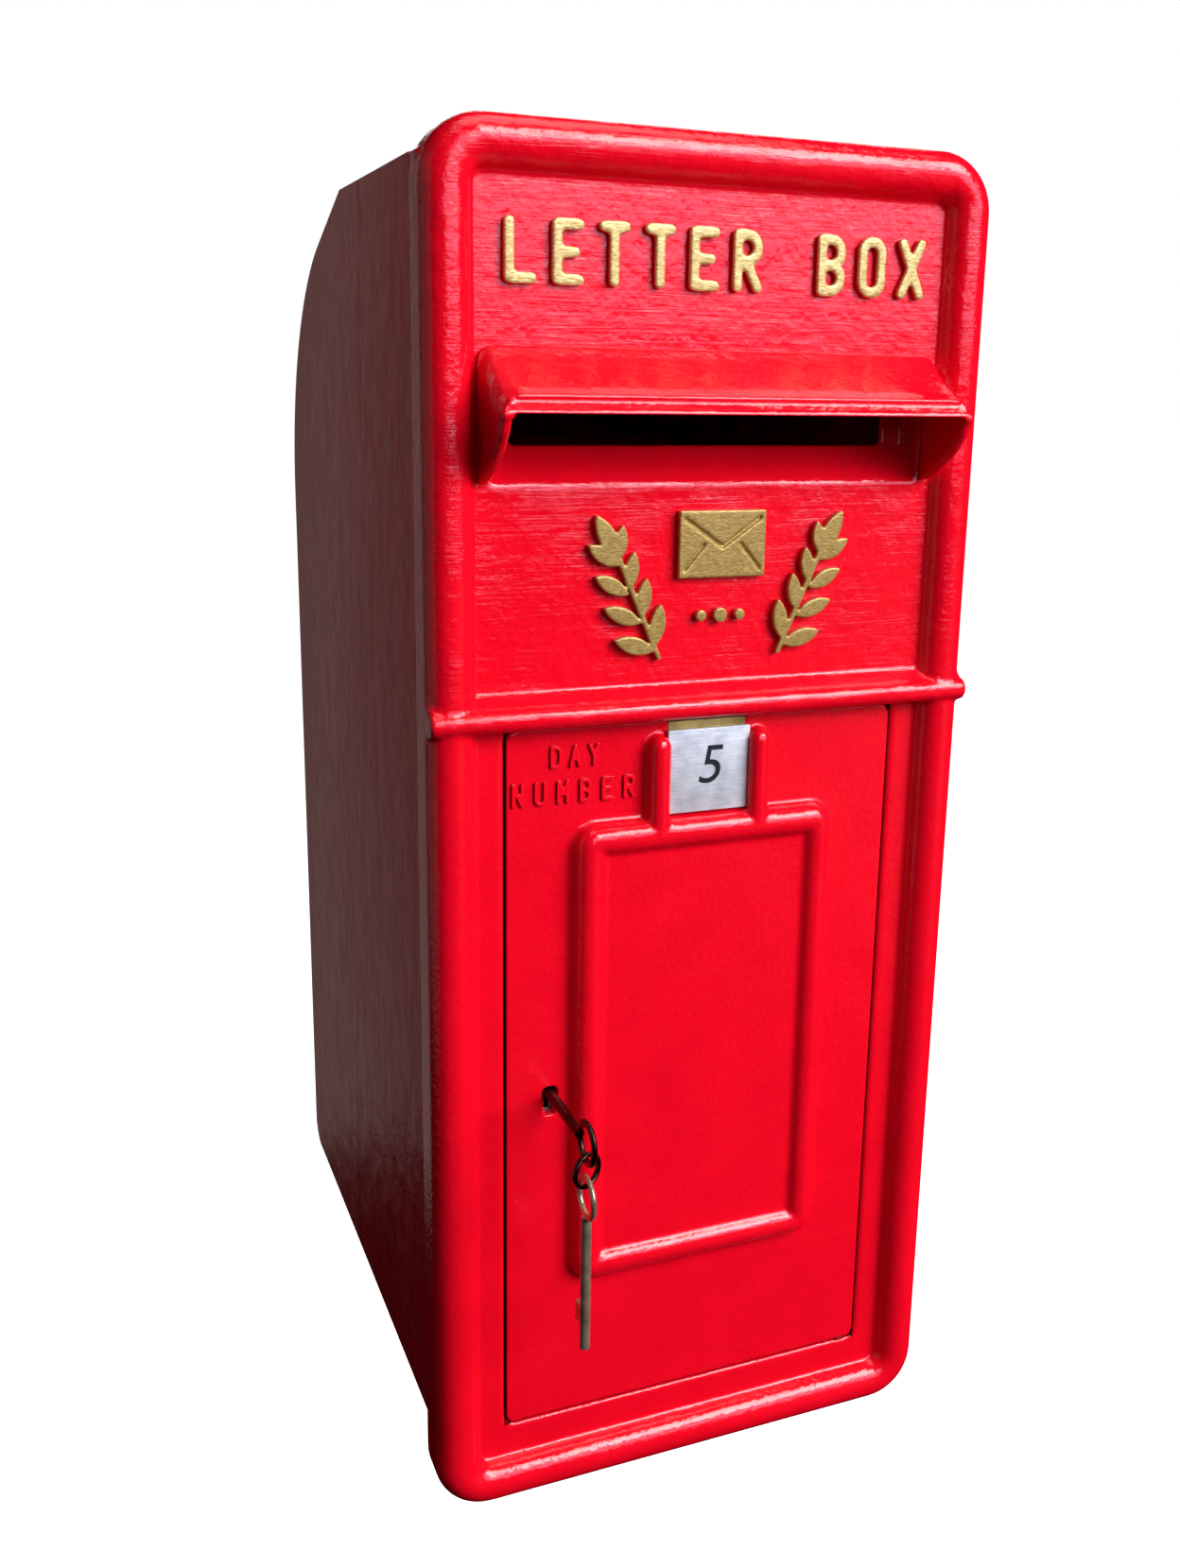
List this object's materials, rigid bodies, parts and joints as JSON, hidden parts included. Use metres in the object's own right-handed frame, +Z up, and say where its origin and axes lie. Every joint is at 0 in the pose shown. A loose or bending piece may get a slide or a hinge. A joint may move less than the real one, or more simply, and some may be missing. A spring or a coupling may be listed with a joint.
{
  "type": "wall letter box",
  "caption": "Wall-hung cast-iron letter box with a hooded posting slot, a hinged lockable door, a lift-out day tablet and keys in the lock.",
  "frame": {"origin": "centre of the four wall-fixing holes, on the outer face of the casing's back", "axes": "+Z up, -Y out of the front towards the user, +X to the right seen from the front (the hinge side)"},
  "size_m": [0.25, 0.34, 0.6],
  "materials": {
    "red_painted_iron": "gloss brushed enamel",
    "gold_paint": "satin gold paint on cast relief",
    "zinc_steel": "zinc plated",
    "spring_steel": "blued spring steel",
    "brushed_tablet_steel": "brushed",
    "brass": "plain",
    "bronzed_steel": "dark bronzed",
    "nickel_steel": "nickel plated"
  },
  "bodies": {
    "box": {"front_frame": "red_painted_iron", "slot_hood": "red_painted_iron", "hood_screws": "zinc_steel", "header_letters": "gold_paint", "emblem": "gold_paint", "rear_casing": "red_painted_iron", "casing_bolts": "zinc_steel", "letter_chute": "zinc_steel", "chute_screws": "zinc_steel", "hinge_pins": "zinc_steel", "hinge_washer": "brass", "bolt_keep": "zinc_steel", "keep_screws": "zinc_steel"},
    "door": {"door": "red_painted_iron", "door_letters": "red_painted_iron", "tablet_backplate": "brass", "lock_case": "zinc_steel", "lock_cap": "zinc_steel", "cap_screws": "zinc_steel", "lock_screws": "zinc_steel", "lever_pivot": "zinc_steel"},
    "tablet": {"day_tablet": "brushed_tablet_steel"},
    "bolt": {"lock_bolt": "brass"},
    "levers": {"lock_levers": "brass", "lever_springs": "spring_steel"},
    "key": {"door_key": "bronzed_steel"},
    "ring": {"split_ring": "bronzed_steel"},
    "spare": {"spare_key": "nickel_steel"}
  },
  "joints": [
    {"name": "door_swing", "type": "hinge", "parent": "box", "child": "door", "pos_m": [0.084, -0.281, -0.06], "axis": [0, 0, 1], "range_deg": [0, 110]},
    {"name": "tablet_lift", "type": "slide", "parent": "door", "child": "tablet", "axis": [0, 0, 1], "range_m": [0, 0.004]},
    {"name": "key_turn", "type": "hinge", "parent": "door", "child": "key", "pos_m": [-0.071, -0.284, -0.0615], "axis": [0, -1, 0], "range_deg": [0, 360]},
    {"name": "bolt_throw", "type": "slide", "parent": "door", "child": "bolt", "axis": [-1, 0, 0], "range_m": [0, 0.01]},
    {"name": "lever_lift", "type": "hinge", "parent": "door", "child": "levers", "pos_m": [-0.0525, -0.284, -0.0365], "axis": [0, 1, 0], "range_deg": [0, 5], "stiffness_Nm_per_rad": 0.02, "springref_deg": -20.05, "deforming": ["lever_springs"]},
    {"name": "ring_swing", "type": "hinge", "parent": "key", "child": "ring", "pos_m": [-0.071, -0.33, -0.0699], "axis": [0, 1, 0], "range_deg": [-40, 40]},
    {"name": "spare_swing", "type": "hinge", "parent": "ring", "child": "spare", "pos_m": [-0.071, -0.33, -0.0808], "axis": [0.8988, 0.4384, 0], "range_deg": [-50, 25]}
  ],
  "couplings": [
    {"joint": "key_turn", "follows": "bolt_throw", "rad_per_m": 628}
  ]
}
